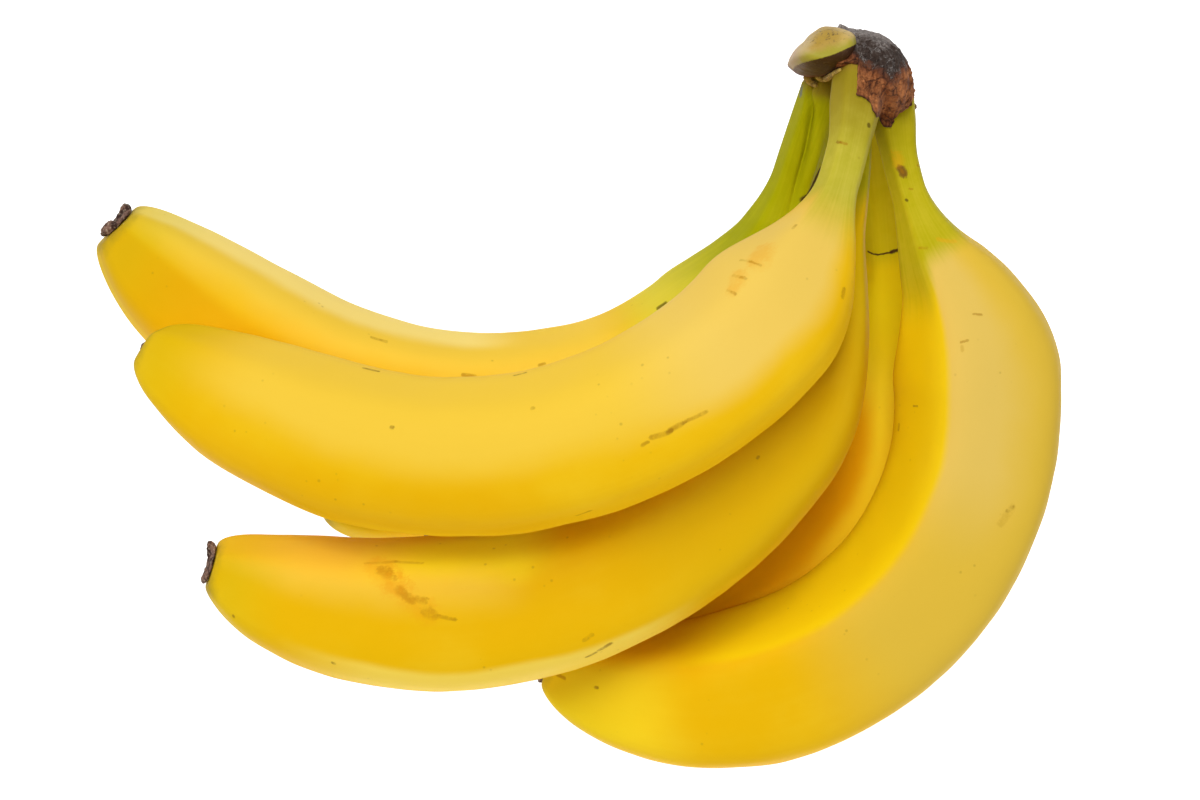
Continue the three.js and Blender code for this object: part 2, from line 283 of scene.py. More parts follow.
class Value:
    """A number or colour that varies over a surface, so that shader maths reads as plain
    expressions: each operation on it adds its own Math node."""

    def __init__(self, finish, socket):
        self.finish = finish
        self.socket = socket

    def maths(self, operation, *values):
        return self.finish.node("Math", {"operation": operation}, dict(enumerate(values)))

    def __add__(self, other):
        return self.maths("ADD", self, other)

    def __sub__(self, other):
        return self.maths("SUBTRACT", self, other)

    def __rsub__(self, other):
        return self.maths("SUBTRACT", other, self)

    def __mul__(self, other):
        return self.maths("MULTIPLY", self, other)

    def __truediv__(self, other):
        return self.maths("DIVIDE", self, other)

    def __pow__(self, other):
        return self.maths("POWER", self, other)

    __radd__ = __add__
    __rmul__ = __mul__

    def eased(self, start, end):
        """0 at start, 1 at end, smooth between them."""
        settings = {"interpolation_type": "SMOOTHSTEP"}
        return self.finish.node("MapRange", settings, {0: self, 1: start, 2: end})

    def clipped(self):
        """Held between 0 and 1."""
        return self.finish.node("Clamp", {}, {0: self})

    def size(self):
        """Without its sign."""
        return self.maths("ABSOLUTE", self)

    def carried(self, start, end, first, last):
        """first at start, last at end, in a straight line between them."""
        return self.finish.node("MapRange", {}, {0: self, 1: start, 2: end, 3: first, 4: last})

    def turned(self, angle):
        """Degrees from an angle to this one, from -180 to 180."""
        return self.maths("WRAP", self - angle, 180, -180)

    def turn_from(self, angle):
        """How many degrees this is away from an angle, either way round."""
        return self.turned(angle).size()


class Finish:
    """A material with a Principled shader, and the nodes that feed it."""

    def __init__(self, name, **constants):
        self.material = bpy.data.materials.new(name)
        self.material.use_nodes = True
        self.nodes = self.material.node_tree.nodes
        self.links = self.material.node_tree.links
        self.shader = self.nodes["Principled BSDF"]
        self.place = self.node("TexCoord", {}, {}, "Object")
        for socket, value in constants.items():
            self.shader.inputs[socket.replace("_", " ")].default_value = value

    def node(self, kind, settings, sockets, output=0):
        """Adds a node: its settings first, then a value or a link for each named socket."""
        made = self.nodes.new("ShaderNode" + kind)
        for setting, value in settings.items():
            setattr(made, setting, value)
        for key, value in sockets.items():
            if isinstance(value, Value):
                self.links.new(value.socket, made.inputs[key])
            else:
                made.inputs[key].default_value = value
        return Value(self, made.outputs[output])

    def mixed(self, mask, first, second):
        """first where mask is 0, second where it is 1, as colours."""
        return self.node("Mix", {"data_type": "RGBA"}, {0: mask, 6: first, 7: second}, 2)

    def mapped(self, layer, across, up):
        """The two numbers of a piece's own map, each times its scale."""
        point = self.node("UVMap", {"uv_map": layer}, {}, "UV")
        return (self.node("SeparateXYZ", {}, {0: point}, "X") * across,
                self.node("SeparateXYZ", {}, {0: point}, "Y") * up)

    def noise(self, scale, detail=2, roughness=0.5, at=None):
        """Smooth noise from 0 to 1, its scale per metre unless it has a place of its own."""
        sockets = {"Vector": at or self.place, "Scale": scale, "Detail": detail,
                   "Roughness": roughness}
        return self.node("TexNoise", {}, sockets, "Fac")

    def feed(self, **links):
        """Links what varies to sockets of the shader."""
        for socket, value in links.items():
            self.links.new(value.socket, self.shader.inputs[socket.replace("_", " ")])

    def relief(self, height, distance):
        """Bump of the given depth in metres."""
        sockets = {"Height": height, "Distance": distance}
        self.feed(Normal=self.node("Bump", {}, sockets, "Normal"))


RIPE = (0.83, 0.475, 0.003, 1)
RIPE_LIGHT = (0.86, 0.53, 0.012, 1)
# A deeper, riper yellow, also laid on as painted shade on faces turned from the light.
DEEP_RIPE_AND_SHADE = (0.77, 0.39, 0.002, 1)
# A less ripe yellow, partly the peel's colour and partly painted light that lifts shade.
BARELY_RIPE_PAINTED_LIGHT = (0.86, 0.60, 0.004, 1)
# Painted highlight along lit upper sides; on banana_3 it lifts banana_2's shadow.
PAINTED_HIGHLIGHT = (0.90, 0.60, 0.06, 1)
# Painted sheen: a pale, dull yellow on the side of banana_5 that faces the light.
PAINTED_SHEEN = (0.74, 0.495, 0.055, 1)
# Painted highlight on banana_2's shoulder.
CREAM = (0.86, 0.60, 0.13, 1)
TURNING = (0.74, 0.64, 0.05, 1)
TURNED = (0.80, 0.64, 0.006, 1)
# Painted light: yellows that lift stretches lying in shade, and carry banana_5's sheen to its tip.
BRIGHT = (0.95, 0.73, 0.02, 1)
BRIGHTEST = (0.98, 0.80, 0.02, 1)
# Painted highlight along banana_1's lit top edge.
PALE = (0.98, 0.76, 0.22, 1)
# Painted sheen near the ridge of banana_5's lit side.
DULL_CREAM = (0.77, 0.54, 0.12, 1)
# Painted light from below: the white table lighting banana_3's lower edge.
LIGHT = (0.93, 0.67, 0.09, 1)
# Painted shade: the shadow of banana_2 on banana_3, in a duller yellow.
DULL_PAINTED_SHADE = (0.75, 0.445, 0.004, 1)
# Painted shade: the orange of the deep gap where banana_4 lies between banana_3 and banana_5.
ORANGE = (0.87, 0.43, 0.001, 1)
GREENISH = (0.50, 0.50, 0.01, 1)
TIP_DARK = (0.27, 0.20, 0.02, 1)
DRY_TOP = (0.33, 0.19, 0.03, 1)
# The green of each neck: its two shades, then how far past the neck's end it goes, over what
# length it fades, how much further it goes on one side, and that side's angle and half width.
# Last, how strong the painted shade at its root is, under the crown.
GREENS = {
    "banana_1": ((0.35, 0.35, 0.001, 1), (0.47, 0.45, 0.008, 1), 4, 34, 8, 15, 40, 0),
    "banana_2": ((0.49, 0.43, 0.03, 1), (0.66, 0.56, 0.08, 1), -5.5, 10, 4, 75, 35, 0.9),
    "banana_3": ((0.44, 0.38, 0.003, 1), (0.58, 0.49, 0.02, 1), -13, 9, 2, 30, 60, 0),
    "banana_4": ((0.60, 0.52, 0.006, 1), (0.70, 0.60, 0.02, 1), 0, 8, 0, 0, 60, 0.2),
    "banana_5": ((0.46, 0.40, 0.004, 1), (0.62, 0.51, 0.03, 1), -7, 7, 6, 0, 22, 0.25),
    "banana_6": ((0.42, 0.39, 0.004, 1), (0.55, 0.49, 0.02, 1), 0, 10, 3, 0, 60, 0.1)}
# The olive of the painted shade at the roots of the necks.
ROOT_SHADE_OLIVE = (0.30, 0.22, 0.012, 1)
# Stretches of another shade. Most are painted light: painted highlights and sheen on the lit
# sides of fingers, painted shade on faces turned away or under a neighbour, and painted light
# that lifts stretches lying in shade. A few are the peel's own colour where it turns from green.
# Each: colour, how much of it, half width and soft edge in degrees, then the distance from the
# root and the angle round where each starts and ends.
STRETCHES = {
    # banana_1: painted shade on the lower face near the tip, painted highlights on the top edge.
    "banana_1": [(TURNING, 0.85, 60, 30, (30, 10), (86, 10)),
                 (DEEP_RIPE_AND_SHADE, 0.7, 34, 14, (165, 98), (240, 98)),
                 (PAINTED_HIGHLIGHT, 0.85, 30, 30, (84, 5), (232, 0)),
                 (PALE, 0.85, 14, 22, (120, -18), (234, -12))],
    # banana_2: painted highlights along its upper side and shoulder, painted shade on its lower
    # side.
    "banana_2": [(PAINTED_HIGHLIGHT, 0.8, 34, 36, (70, 25), (206, 12)),
                 (CREAM, 0.8, 48, 24, (28, 34), (92, 22)),
                 (DEEP_RIPE_AND_SHADE, 0.5, 16, 24, (120, 112), (200, 118))],
    # banana_3: painted light and shade under banana_2, and painted table light on its lower edge.
    "banana_3": [(TURNED, 0.35, 181, 1, (18, 0), (50, 0)),
                 (PAINTED_HIGHLIGHT, 0.75, 20, 30, (150, 20), (224, 12)),
                 (BRIGHTEST, 1, 12, 26, (138, 12), (188, 8)),
                 (DULL_PAINTED_SHADE, 0.8, 32, 24, (66, 100), (122, 86)),
                 (LIGHT, 0.95, 19, 8, (118, 136), (200, 124))],
    # banana_4: lighter, partly less ripe and partly painted light in its shade; orange painted
    # shade.
    "banana_4": [(BARELY_RIPE_PAINTED_LIGHT, 0.9, 181, 1, (38, 0), (220, 0)),
                 (BRIGHT, 1, 181, 1, (62, 0), (140, 0)),
                 (TURNED, 0.9, 181, 1, (20, 0), (70, 0)),
                 (ORANGE, 0.9, 16, 22, (74, 26), (160, 104))],
    # banana_5: painted sheen on its lit side; its left side lighter, partly less ripe, partly
    # painted light.
    "banana_5": [(PAINTED_SHEEN, 0.9, 61, 12, (22, 100), (152, 100)),
                 (DULL_CREAM, 0.85, 16, 34, (22, 52), (104, 52)),
                 (BARELY_RIPE_PAINTED_LIGHT, 0.95, 31, 7, (30, 0), (190, 0)),
                 (BRIGHT, 0.6, 30, 30, (190, 72), (234, 72))]}
# Marks on the peel: kind, half width in mm, then the distance from the root and the angle
# round of its start and of its end.
MARKS = {
    "banana_1": [
        ("dark", 0.8, (67, 24), (70, 24)), ("tan", 0.5, (130, 43), (133, 43)),
        ("tan", 0.4, (111, 37), (113, 38)), ("tan", 0.5, (154, 25), (158, 25)),
        # The dark slit here is painted shade in the gap between this neck's lobe and banana_2's
        # neck.
        ("slit_and_gap_shade", 1.1, (15.5, 166), (22, 108)), ("grey", 0.9, (-3.5, 345), (-2.5, 350)),
        ("faint", 0.4, (90, 50), (94, 48))],
    "banana_2": [
        ("faint", 0.4, (53.8, 12), (53.2, 24)), ("tan", 0.32, (53.3, 23), (53, 34)),
        ("faint", 0.4, (58.6, 20), (58, 28)), ("tan", 0.4, (58, 28), (57.7, 32)),
        ("faint", 0.35, (62.5, 26), (62.2, 30)), ("tan", 0.35, (62.2, 30), (62.1, 34)),
        ("halo", 2.8, (49, 24), (52, 28)), ("halo", 2.2, (58, 25), (61, 29)),
        ("tan", 0.4, (97.2, 83), (96, 83)), ("tan", 0.6, (94.8, 81), (92, 82.5)),
        ("brown", 0.5, (91.6, 83), (90.8, 83)), ("tan", 0.6, (91, 82.5), (88.4, 82)),
        ("brown", 0.4, (88.3, 82), (87.6, 82.3)), ("tan", 0.45, (87.4, 82), (83.2, 84)),
        ("tan", 0.45, (117, 32), (117.4, 32)),
        ("brown", 0.45, (152, 44), (152.3, 44)), ("tan", 0.5, (46.5, 104), (48, 104)),
        ("tan", 0.4, (39, 30), (40, 30)),
        ("brown", 0.6, (163, 341), (167, 341)), ("brown", 0.5, (120, 339), (123, 340)),
        ("tan", 0.5, (112, 124), (115, 130)), ("brown", 0.35, (14, 22), (14.3, 36)),
        ("tan", 0.35, (14.3, 36), (14.4, 52)),
        ("dark", 0.4, (8.3, 101), (8.7, 103))],
    "banana_3": [
        ("faint", 0.5, (189, 19.5), (181, 17)), ("faint", 0.5, (181, 17), (173.7, 19)),
        ("tan", 1.5, (184.4, 27), (182.6, 30)), ("tan", 0.7, (181, 33), (180.6, 34)),
        ("tan", 1.2, (179.3, 43), (176.3, 50)), ("tan", 0.9, (174.6, 48.5), (172.6, 50)),
        ("tan", 1.3, (172.5, 58), (170.6, 60)), ("tan", 0.5, (170, 61), (165.5, 65)),
        ("halo", 3.4, (186, 22), (181, 38)), ("halo", 2.8, (181, 38), (172, 60)),
        ("brown", 0.4, (218, 107), (218.3, 107)), ("brown", 0.4, (193, 108), (193.3, 108)),
        ("brown", 0.4, (81.6, 65), (81.9, 65)), ("brown", 0.6, (133.5, 114), (136, 116)),
        ("brown", 0.5, (137, 118), (139, 120)), ("tan", 0.5, (136, 99), (138, 101))],
    "banana_4": [("slit_and_gap_shade", 0.26, (36.4, 8), (36.1, 72)), ("slit_and_gap_shade", 0.5, (36.1, 70), (35.3, 116))],
    "banana_5": [
        ("tan", 0.28, (48.7, 62), (49.6, 69)), ("tan", 0.28, (53.7, 46), (53.9, 51)),
        ("faint", 0.35, (54.8, 46), (55.8, 46)), ("brown", 0.5, (94.9, 87), (93.9, 89.5)),
        ("faint", 0.9, (94, 89), (98, 86)), ("brown", 0.35, (72.4, 356), (72.1, 361)),
        ("tan", 0.5, (80, 338), (82, 338)),
        ("tan", 0.5, (218, 67), (220, 68)), ("brown", 0.4, (209, 62), (209.4, 62)),
        ("scar", 0.95, (11.2, 50), (12.7, 54)), ("tan", 0.35, (11.7, 51), (12.3, 53)),
        ("halo", 1.6, (8.4, 43), (9.4, 46)),
        ("tan", 0.25, (16.5, 60), (16.8, 70)), ("dark", 0.3, (18.7, 39), (19, 42)),
        ("tan", 0.3, (11.5, 109), (11.8, 111)), ("tan", 0.3, (30, 36), (30.6, 48)),
        ("halo", 0.5, (30, 74), (32.5, 96))],
    "banana_6": [("tan", 0.6, (120, 60), (128, 62)), ("brown", 0.5, (80, 200), (84, 202))],
}
# Each kind of mark: its colour, how much of it, and how far in its edge stays hard. The slit
# kind is a scar line on banana_4 and painted shade in a gap between necks on banana_1.
MARK_INKS = {
    "slit_and_gap_shade": ((0.060, 0.026, 0.012, 1), 0.95, 0.5), "dark": ((0.06, 0.03, 0.006, 1), 0.75, 0.2),
    "scar": ((0.17, 0.055, 0.015, 1), 0.85, 0.4), "brown": ((0.24, 0.10, 0.010, 1), 0.7, 0.1),
    "tan": ((0.38, 0.165, 0.006, 1), 0.62, 0), "faint": ((0.45, 0.22, 0.006, 1), 0.35, 0),
    "halo": ((0.82, 0.33, 0.006, 1), 0.36, 0), "grey": ((0.20, 0.22, 0.20, 1), 0.8, 0.3)}
BLOTCHY_MARKS = ("tan", "faint", "brown", "halo")
# Scales of the peel's noises, per metre: clouds of 26 mm, mottling of 4 mm, grain below 1 mm,
# specks of 3 mm and the patches where they gather.
CLOUDS, MOTTLING, GRAIN, SPECKS, SPECK_PATCHES = 38, 260, 1500, 330, 55
# Distances, in mm, over which painted shade darkens the green down to the root, a stretch comes
# in and goes out, the tip turns green, its rim darkens, and the neck dries under the crown.
ROOT_FADE, STRETCH_IN, STRETCH_OUT = (-1, 20), (-8, 12), (-20, 10)
TIP_FADE, RIM_FADE, DRY_FADE = (-26, -4), (-3, 1), (-6.5, -3)
# The section is on average this much wider than its radius to a flat side, and a mark has
# faded out at this many half widths.
MEAN_SECTION, MARK_FALLOFF = 1.05, 1.35
PEEL_ROUGHNESS, PEEL_RELIEF = 0.42, 0.00012


def peel_finish(name, f, marks):
    """Peel: green at the neck, yellow over the body and greenish again at the tip, mottled and
    faintly streaked along its length, with scattered specks and its own marks."""
    peel = Finish("peel_" + name, Roughness=0.45, IOR=1.4, Specular_IOR_Level=0.02)
    along, around = peel.mapped("peel", MAP_SCALE, 360)
    cloud = peel.noise(CLOUDS, 3)
    mottle = peel.noise(MOTTLING, 4, 0.6)
    grain = peel.noise(GRAIN, 3, 0.6)
    sway, stir = cloud - 0.5, mottle - 0.5
    width = f["girth"] * np.pi / 180
    stripes_at = peel.node("CombineXYZ", {}, {0: along * 0.05, 1: around * width})
    stripes = peel.noise(0.6, 3, at=stripes_at)

    # The green, with painted shade at the root under the crown, and where it ends.
    *greens, past_neck, fade, further, side, half_width, root_shade = GREENS[name]
    longer = 1 - around.turn_from(side).eased(half_width, half_width + 25)
    edge = longer * further + (f["neck"][0] + past_neck)
    drift = along - edge + sway * (3 + fade * 0.4) + (stripes - 0.5) * 2.5
    soft = longer * further * 1.6 + fade
    ripe = drift.eased(soft * -0.3, soft * 0.7)
    shade = (stripes * 0.35 + cloud * 0.35 + mottle * 0.3).eased(0.36, 0.7) * 0.7
    green = peel.mixed(shade, *greens)
    root = 1 - (along + stir * 6).eased(*ROOT_FADE)
    green = peel.mixed(root * root_shade, green, ROOT_SHADE_OLIVE)

    # The yellow, with its stretches of other shades, most of them painted highlights and shade.
    shade = (cloud * 0.7 + stripes * 0.15 + mottle * 0.15).eased(0.36, 0.74)
    yellow = peel.mixed(shade, RIPE, RIPE_LIGHT)
    for tint, strength, half_width, soft, start, end in STRETCHES.get(name, []):
        middle = along.carried(start[0], end[0], start[1], end[1])
        aside = around.turn_from(middle) + sway * soft
        band = 1 - aside.eased(half_width, half_width + soft)
        comes_in = (along - start[0]).eased(*STRETCH_IN)
        goes_out = (along - end[0]).eased(*STRETCH_OUT)
        yellow = peel.mixed(band * comes_in * (1 - goes_out) * strength, yellow, tint)
    colour = peel.mixed(ripe, green, yellow)

    # The tip's green and its dark rim, and the dry top of the neck.
    past_tip = along - finger_length(f)
    last = (past_tip + sway * 8).eased(*TIP_FADE)
    colour = peel.mixed(last * 0.22, colour, GREENISH)
    rim = (past_tip + stir * 4 + sway * 6).eased(*RIM_FADE)
    colour = peel.mixed(rim * 0.6, colour, TIP_DARK)
    dry_top = 1 - (along + stir * 3).eased(*DRY_FADE)
    colour = peel.mixed(dry_top * 0.6, colour, DRY_TOP)

    # Faint freckles in patches, then the finger's own marks.
    specks = peel.node("TexVoronoi", {}, {"Vector": peel.place, "Scale": SPECKS}, "Distance")
    scarce = peel.noise(SPECK_PATCHES).eased(0.56, 0.66)
    freckles = (1 - (specks + stir * 0.1).eased(0.05, 0.16)) * scarce * 0.28
    colour = peel.mixed(freckles, colour, MARK_INKS["brown"][0])
    rough = mottle * 0.16
    uneven = (mottle * 0.75 + grain * 0.25).eased(0.26, 0.6)
    for kind, half_width, start, end in marks:
        ink, strength, hard = MARK_INKS[kind]
        step = finger_radius(f, np.array(start[0])) * MEAN_SECTION * np.pi / 180
        run, rise = end[0] - start[0], (end[1] - start[1]) * step
        across = around.turned(start[1]) * step + stir * half_width * 2
        down = along - start[0] + (grain - 0.5) * half_width * 2
        covered = ((down * run + across * rise) / (run ** 2 + rise ** 2)).clipped()
        apart = (down - covered * run) ** 2 + (across - covered * rise) ** 2
        mask = 1 - apart.eased((hard * half_width) ** 2, (MARK_FALLOFF * half_width) ** 2)
        if kind in BLOTCHY_MARKS:
            mask = mask * uneven
        colour = peel.mixed(mask * strength, colour, ink)
        if kind != "halo":
            rough = rough + mask * 0.2
    peel.feed(Base_Color=colour, Roughness=rough + PEEL_ROUGHNESS)
    peel.relief(stripes * 0.25 + mottle * 0.3 + grain * 0.12, PEEL_RELIEF)
    return peel.material


for name, f in FINGERS.items():
    piece = banana(name, f)
    piece.data.materials.append(peel_finish(name, f, MARKS[name]))
    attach(piece, "root")
    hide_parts(name)

# ---- The crown ----
# The corky cushion that all the necks grow from. Where the hand was cut off the stalk a stub
# with a pale face is left, which overhangs the necks; the rest has dried to a wrinkled brown
# skin, with grey mould over the top.
CROWN_OUTLINE = [
    (46.8, 80.6), (48.2, 83.4), (51.4, 86), (55.8, 87.4), (61.3, 87.7), (66.4, 86.4),
    (70.9, 83.2), (73.3, 78.9), (74.5, 73.4), (73.6, 69.4), (70, 67.4), (66, 68.6),
    (61.8, 72.5), (59.4, 76.6), (54.6, 77.2), (49.4, 78)]
CROWN_HEART = (63, 79)
CROWN_MIDDLE, CROWN_HALF_DEPTH, CROWN_BLUNTNESS = -17, 23.5, 0.55
STUB_OUTLINE = [
    (44.5, 79.9), (45.8, 82.3), (47.8, 84.4), (49.9, 86.3), (52.1, 87.8), (54.5, 87.8),
    (58, 86.9), (60.2, 85.3), (60.8, 82.6), (60.4, 80.2), (58.6, 78.4), (55.2, 77.3),
    (51, 76.9), (47.6, 77.4), (45.4, 78.7)]
STUB_HEART = (53, 81)
STUB_MIDDLE, STUB_HALF_DEPTH, STUB_BLUNTNESS = -8, 16.5, 0.42
# The stub's face ends below in a keen edge, which rises as the square of the way along it.
EDGE_START, EDGE_HEIGHT, EDGE_RISE = 46, 78.4, 0.0232
# How far the stub falls back for each mm over the edge and under it.
FACE_FALL, UNDER_FALL = 0.32, 1.15
# A dark knob on the neck at the far right, and a scab where the stub meets the mould.
KNOB_OUTLINE, KNOB_HEART = [(74, 70), (74.8, 71.1), (75.7, 70.4), (75.1, 69.2)], (74.9, 70.2)
SCAB_OUTLINE = [(55.6, 87), (56.6, 88.2), (57.8, 88.3), (60.6, 86.7), (59.2, 85.8)]
SCAB_HEART = (57.3, 87)
# Rows and columns of the cushion, the stub and these two.
CROWN_GRID, STUB_GRID, SMALL_GRID = (200, 320), (150, 260), (24, 40)


def along_line(corners, t):
    """Points at even shares t of a line through corners."""
    corners = np.array(corners, float)
    step = np.concatenate([[0], np.cumsum(np.linalg.norm(np.diff(corners, axis=0), axis=1))])
    return np.stack([np.interp(t * step[-1], step, line) for line in corners.T], -1)


def closed_outline(corners, count):
    """Smooth closed curve through the corners: a cubic between each two, whose slope at a
    corner is half the step between its neighbours, then evenly spaced along its length."""
    p = np.array(corners, float)
    before, after, beyond = np.roll(p, 1, 0), np.roll(p, -1, 0), np.roll(p, -2, 0)
    t = np.linspace(0, 1, 40, endpoint=False)[:, None, None]
    curve = (p + 0.5 * t * (after - before)
             + t ** 2 * (before - 2.5 * p + 2 * after - 0.5 * beyond)
             + t ** 3 * (1.5 * p - 1.5 * after + 0.5 * beyond - 0.5 * before))
    curve = curve.transpose(1, 0, 2).reshape(-1, 2)
    curve = np.vstack([curve, curve[:1]])
    return along_line(curve, np.linspace(0, 1, count, endpoint=False))


def map_flat(piece, points):
    """Gives a piece a map of its points' own X and Y in the hand's frame, over MAP_SCALE."""
    corner = np.empty(len(piece.data.loops), int)
    piece.data.loops.foreach_get("vertex_index", corner)
    layer = piece.data.uv_layers.new(name="flat")
    layer.uv.foreach_set("vector", (points[corner, :2] / MAP_SCALE).ravel())


def cushion(name, outline, heart, middle, half_depth, bluntness, grid, shaped):
    """Outline carried along Z between middle - half_depth and middle + half_depth, shrunk
    towards its heart as sin(t) ^ bluntness; shaped(points, outward) then moves its points."""
    edge = closed_outline(outline, grid[1]) - heart
    t = np.linspace(0, np.pi, grid[0] + 2)[1:-1]
    flat = edge[None] * (np.sin(t) ** bluntness)[:, None, None] + heart
    z = np.broadcast_to((middle - half_depth * np.cos(t))[:, None, None], (*grid, 1))
    poles = [[*heart, middle - half_depth], [*heart, middle + half_depth]]
    points = np.vstack([np.concatenate([flat, z], -1).reshape(-1, 3), poles])
    outward = points - [*heart, middle]
    points = shaped(points, outward / np.linalg.norm(outward, axis=1, keepdims=True))
    laid = laid_down(points)
    piece = closed_skin(name, laid[:-2].reshape(*grid, 3), laid[-2:-1], laid[-1:])
    map_flat(piece, points)
    return piece, points


def crumpled(points, outward):
    """Lumps of 6 mm, wrinkles of 3.4 mm with keen crests, and fine roughness, straight out."""
    crests = 1 - 2 * np.abs(ripple(points, 3.4, 4))
    height = 0.4 * ripple(points, 6, 3) + 0.24 * crests + 0.13 * ripple(points, 1.3, 5)
    return points + outward * height[:, None]


def stub_shape(points, outward):
    """In front of its middle the stub falls back from the keen edge: gently above it over the
    cut face, steeply below it. Both are a little uneven."""
    over = points[:, 1] - EDGE_HEIGHT - EDGE_RISE * (points[:, 0] - EDGE_START) ** 2
    front = eased(points[:, 2], STUB_MIDDLE, STUB_MIDDLE + STUB_HALF_DEPTH * 0.8)
    fall = FACE_FALL * np.maximum(over, 0) + UNDER_FALL * np.maximum(-over, 0)
    uneven = 0.12 * ripple(points, 4, 8) + 0.05 * ripple(points, 1.4, 9) * (over < 0)
    return points + outward * uneven[:, None] + [0, 0, 1] * (1.4 * front - front * fall)[:, None]


crown, crown_points = cushion(
    "crown_cushion", CROWN_OUTLINE, CROWN_HEART, CROWN_MIDDLE, CROWN_HALF_DEPTH,
    CROWN_BLUNTNESS, CROWN_GRID, crumpled)
stub, stub_points = cushion(
    "cut_stub", STUB_OUTLINE, STUB_HEART, STUB_MIDDLE, STUB_HALF_DEPTH, STUB_BLUNTNESS,
    STUB_GRID, stub_shape)
neck_knob = cushion(
    "neck_knob", KNOB_OUTLINE, KNOB_HEART, -17.5, 1.3, 0.5, SMALL_GRID,
    lambda points, outward: points + outward * 0.12 * ripple(points, 1, 22)[:, None])[0]
scab = cushion(
    "stub_scab", SCAB_OUTLINE, SCAB_HEART, -7, 3.2, 0.5, SMALL_GRID,
    lambda points, outward: points + outward * 0.3 * ripple(points, 1.6, 21)[:, None])[0]

DRY_DARK, DRY_LIGHT = (0.17, 0.048, 0.013, 1), (0.47, 0.17, 0.055, 1)
FISSURE, SCORCHED = (0.040, 0.013, 0.008, 1), (0.085, 0.028, 0.018, 1)
MOULD_DARK, MOULD_GREY = (0.045, 0.028, 0.021, 1), (0.30, 0.26, 0.24, 1)
MOULD_HAIR = (0.50, 0.45, 0.42, 1)
# The dried skin: mottled brown with dark cracks, scorched next to the mould, which is dusty
# and has pale threads. The mould's lower border climbs to the right and dips at MOULD_DIP.
MOULD_DIP = 67.7
dry = Finish("crown_dry_skin", Roughness=0.85, Specular_IOR_Level=0.25)
flat_x, flat_y = dry.mapped("flat", MAP_SCALE, MAP_SCALE)
blotch = dry.noise(260, 3, 0.6)
fine = dry.noise(1300, 3, 0.65)
fibre_at = dry.node("CombineXYZ", {}, {0: flat_x * 1.5 + blotch * 1.5, 1: flat_y * 0.4})
fibre = dry.noise(1, 3, 0.6, fibre_at)
warped = dry.node("VectorMath", {"operation": "MULTIPLY_ADD"},
                  {0: dry.node("CombineXYZ", {}, {0: blotch, 1: fine, 2: fibre}),
                   1: (0.002, 0.001, 0.002), 2: dry.place})
cracks = dry.node("TexVoronoi", {"feature": "DISTANCE_TO_EDGE"},
                  {"Vector": warped, "Scale": 330}, "Distance")
crack = 1 - cracks.eased(0, 0.1)
aside = (flat_x - MOULD_DIP).size()
up_to_mould = (flat_y - flat_x * 0.25 + 16.9 - aside * 0.85 + (blotch - 0.5) * 7
               + (fine - 0.5) * 4)
mouldy = up_to_mould.eased(73.2, 76)
shade = (fibre * 0.4 + blotch * 0.4 + fine * 0.2).eased(0.39, 0.61)
skin = dry.mixed(shade, DRY_DARK, DRY_LIGHT)
skin = dry.mixed(up_to_mould.eased(71.6, 74) * 0.7, skin, SCORCHED)
skin = dry.mixed(crack * (1 - blotch.eased(0.4, 0.55)) * 0.8, skin, FISSURE)
strand = (dry.noise(300, 4, 0.65) - 0.5).size()
hair = (1 - strand.eased(0, 0.02)) * blotch.eased(0.42, 0.62)
dusty = blotch * 0.4 + fine * 0.6 + (flat_y - aside * 0.3).eased(78, 87) * 0.3
mould = dry.mixed(dusty.eased(0.5, 0.85), MOULD_DARK, MOULD_GREY)
mould = dry.mixed(hair * 0.8, mould, MOULD_HAIR)
torn = dry.node("Attribute", {"attribute_name": "torn"}, {}, "Fac")
dry_colour = dry.mixed(mouldy, skin, mould)
dry_colour = dry.mixed(torn.eased(0.4, 1) * 0.75, dry_colour, FISSURE)
dry.feed(Base_Color=dry_colour)
dry.relief(fibre * 0.5 + fine * 0.35 - crack * 0.35 + hair * 0.3, 0.0006)

# The stub: its pale cut face goes from pink at the left end over beige and olive to yellow,
# with a green rind along the edge and dark flecks; below the edge it is dark brown, partly its
# own colour and partly painted shade under the overhang.
CUT_PINK, CUT_BEIGE = (0.50, 0.32, 0.25, 1), (0.56, 0.40, 0.16, 1)
CUT_OLIVE, CUT_YELLOW = (0.46, 0.29, 0.045, 1), (0.62, 0.42, 0.11, 1)
RIND_GREEN, CUT_FLECK = (0.36, 0.33, 0.012, 1), (0.10, 0.065, 0.03, 1)
UNDER_BROWN_SHADE, UNDER_TAN = (0.065, 0.024, 0.007, 1), (0.20, 0.115, 0.045, 1)
cut = Finish("stub_cut_face", Roughness=0.6, Specular_IOR_Level=0.3)
flat_x, flat_y = cut.mapped("flat", MAP_SCALE, MAP_SCALE)
blotch = cut.noise(320, 3, 0.6)
fine = cut.noise(1400, 3, 0.65)
depth = cut.node("Attribute", {"attribute_name": "depth"}, {}, "Fac")
over = flat_y - EDGE_HEIGHT - (flat_x - EDGE_START) ** 2 * EDGE_RISE + (fine - 0.5) * 0.5
drift = flat_x + (blotch - 0.5) * 4
face = cut.mixed(drift.eased(47.5, 50.5), CUT_BEIGE, CUT_OLIVE)
face = cut.mixed(drift.eased(53.5, 57.5), face, CUT_YELLOW)
face = cut.mixed((1 - (over + (blotch - 0.5) * 2).eased(0.6, 3)) * 0.85, face, RIND_GREEN)
face = cut.mixed((1 - drift.eased(45, 47.5)) * 0.6, face, CUT_PINK)
flecks = fine.eased(0.56, 0.66) * (over + drift * 0.2 - 11).eased(1.5, 4)
face = cut.mixed(flecks * 0.65, face, CUT_FLECK)
under = cut.mixed((1 - (drift + over * 1.2).eased(44, 49)) * 0.8, UNDER_BROWN_SHADE, UNDER_TAN)
under = cut.mixed(fine.eased(0.5, 0.75) * 0.5, under, UNDER_TAN)
